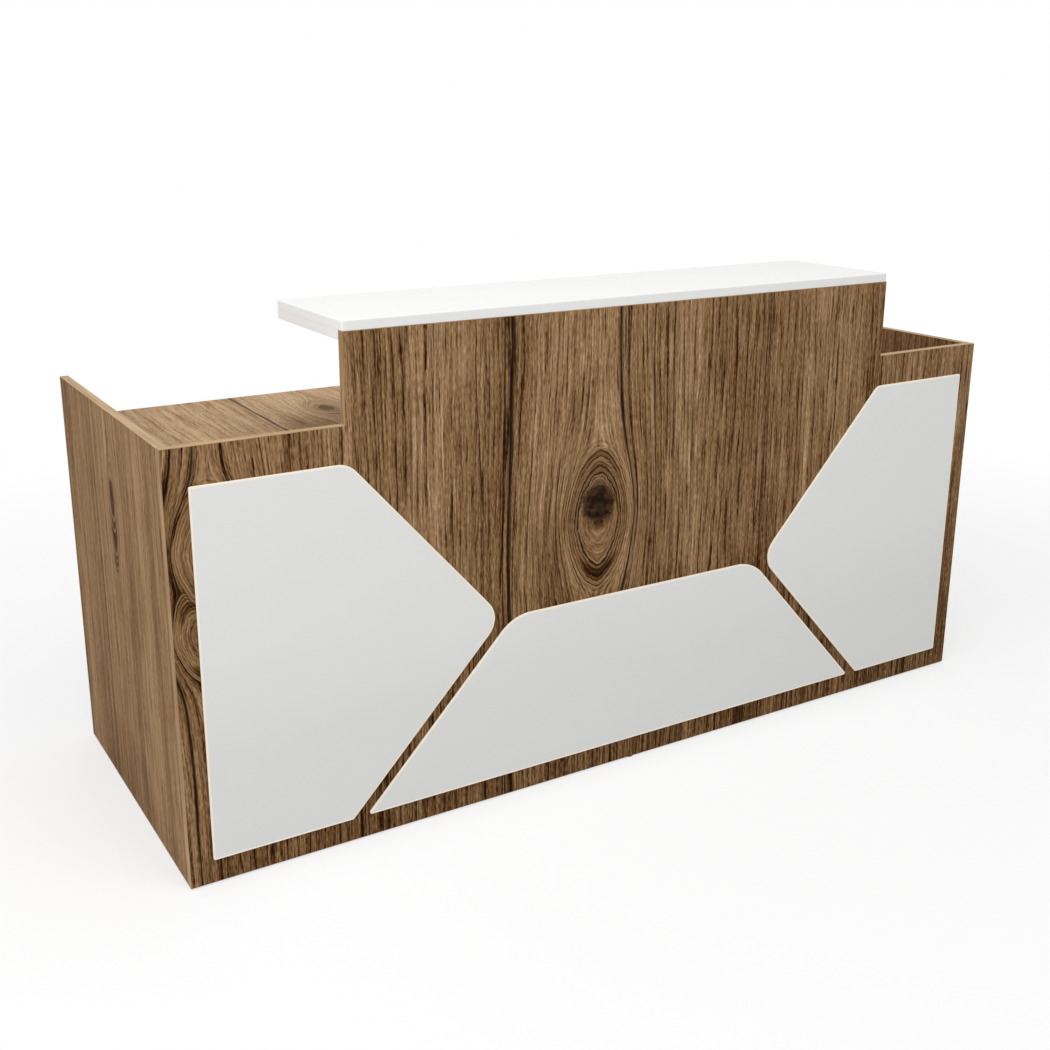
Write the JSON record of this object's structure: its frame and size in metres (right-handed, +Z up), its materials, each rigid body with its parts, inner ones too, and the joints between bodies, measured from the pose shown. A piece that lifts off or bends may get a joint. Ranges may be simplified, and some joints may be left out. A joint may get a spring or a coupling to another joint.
{
  "type": "reception desk",
  "caption": "Reception desk with a T-shaped wood front, white relief panels, a raised white counter, a recessed work top and a drawer pedestal on the staff side.",
  "frame": {"origin": "on the floor, under the middle of the desk's bounding box", "axes": "+X to the visitor's right along the front, +Y from the visitor to the staff, +Z up"},
  "size_m": [2, 0.7244, 1.0273],
  "materials": {
    "rustic_board": "melamine board with a rustic brown wood decor, matt",
    "white_relief": "white lacquered board, satin",
    "white_counter": "white laminated board, satin",
    "drawer_board": "pale grey melamine board, matt",
    "zinc_steel": "zinc plated",
    "brushed_steel": "brushed",
    "black_plastic": "matt, moulded"
  },
  "bodies": {
    "desk": {"front_board": "rustic_board", "end_panel_left": "rustic_board", "end_panel_right": "rustic_board", "work_top": "rustic_board", "counter_upright_left": "rustic_board", "counter_upright_right": "rustic_board", "pedestal_side": "rustic_board", "pedestal_floor": "rustic_board", "pedestal_plinth": "rustic_board", "relief_panel_left": "white_relief", "relief_panel_middle": "white_relief", "relief_panel_right": "white_relief", "counter_top": "white_counter", "counter_under_layer": "white_counter", "bracket_left_front": "zinc_steel", "bracket_left_back": "zinc_steel", "bracket_pedestal_front": "zinc_steel", "bracket_pedestal_back": "zinc_steel", "bracket_front_left": "zinc_steel", "bracket_front_right": "zinc_steel", "grommet_ring": "black_plastic", "runner_bottom_left": "zinc_steel", "runner_bottom_right": "zinc_steel", "runner_middle_left": "zinc_steel", "runner_middle_right": "zinc_steel", "runner_top_left": "zinc_steel", "runner_top_right": "zinc_steel"},
    "drawer_bottom": {"drawer_bottom_front": "rustic_board", "drawer_bottom_side_left": "drawer_board", "drawer_bottom_side_right": "drawer_board", "drawer_bottom_back": "drawer_board", "drawer_bottom_bottom": "drawer_board", "drawer_bottom_pull": "brushed_steel", "drawer_bottom_channel_left": "zinc_steel", "drawer_bottom_channel_right": "zinc_steel"},
    "drawer_middle": {"drawer_middle_front": "rustic_board", "drawer_middle_side_left": "drawer_board", "drawer_middle_side_right": "drawer_board", "drawer_middle_back": "drawer_board", "drawer_middle_bottom": "drawer_board", "drawer_middle_pull": "brushed_steel", "drawer_middle_channel_left": "zinc_steel", "drawer_middle_channel_right": "zinc_steel"},
    "drawer_top": {"drawer_top_front": "rustic_board", "drawer_top_side_left": "drawer_board", "drawer_top_side_right": "drawer_board", "drawer_top_back": "drawer_board", "drawer_top_bottom": "drawer_board", "drawer_top_pull": "brushed_steel", "drawer_top_channel_left": "zinc_steel", "drawer_top_channel_right": "zinc_steel"},
    "grommet_cap": {"grommet_cap": "black_plastic"},
    "foot_left_front": {"foot_left_front": "black_plastic"},
    "foot_left_back": {"foot_left_back": "black_plastic"},
    "foot_right_front": {"foot_right_front": "black_plastic"},
    "foot_right_back": {"foot_right_back": "black_plastic"},
    "foot_front_middle": {"foot_front_middle": "black_plastic"},
    "foot_pedestal": {"foot_pedestal": "black_plastic"}
  },
  "joints": [
    {"name": "drawer_bottom_slide", "type": "slide", "parent": "desk", "child": "drawer_bottom", "axis": [0, 1, 0], "range_m": [0, 0.37]},
    {"name": "drawer_middle_slide", "type": "slide", "parent": "desk", "child": "drawer_middle", "axis": [0, 1, 0], "range_m": [0, 0.37]},
    {"name": "drawer_top_slide", "type": "slide", "parent": "desk", "child": "drawer_top", "axis": [0, 1, 0], "range_m": [0, 0.37]},
    {"name": "grommet_cap_turn", "type": "hinge", "parent": "desk", "child": "grommet_cap", "pos_m": [0.23, -0.25985, 0.753], "axis": [0, 0, 1], "continuous": true},
    {"name": "foot_left_front_screw", "type": "hinge", "parent": "desk", "child": "foot_left_front", "pos_m": [-0.991, -0.27985, 0], "axis": [0, 0, 1], "continuous": true},
    {"name": "foot_left_back_screw", "type": "hinge", "parent": "desk", "child": "foot_left_back", "pos_m": [-0.991, 0.30215, 0], "axis": [0, 0, 1], "continuous": true},
    {"name": "foot_right_front_screw", "type": "hinge", "parent": "desk", "child": "foot_right_front", "pos_m": [0.991, -0.27985, 0], "axis": [0, 0, 1], "continuous": true},
    {"name": "foot_right_back_screw", "type": "hinge", "parent": "desk", "child": "foot_right_back", "pos_m": [0.991, 0.30215, 0], "axis": [0, 0, 1], "continuous": true},
    {"name": "foot_front_middle_screw", "type": "hinge", "parent": "desk", "child": "foot_front_middle", "pos_m": [0, -0.34885, 0], "axis": [0, 0, 1], "continuous": true},
    {"name": "foot_pedestal_screw", "type": "hinge", "parent": "desk", "child": "foot_pedestal", "pos_m": [0.573, 0.24415, 0], "axis": [0, 0, 1], "continuous": true}
  ]
}
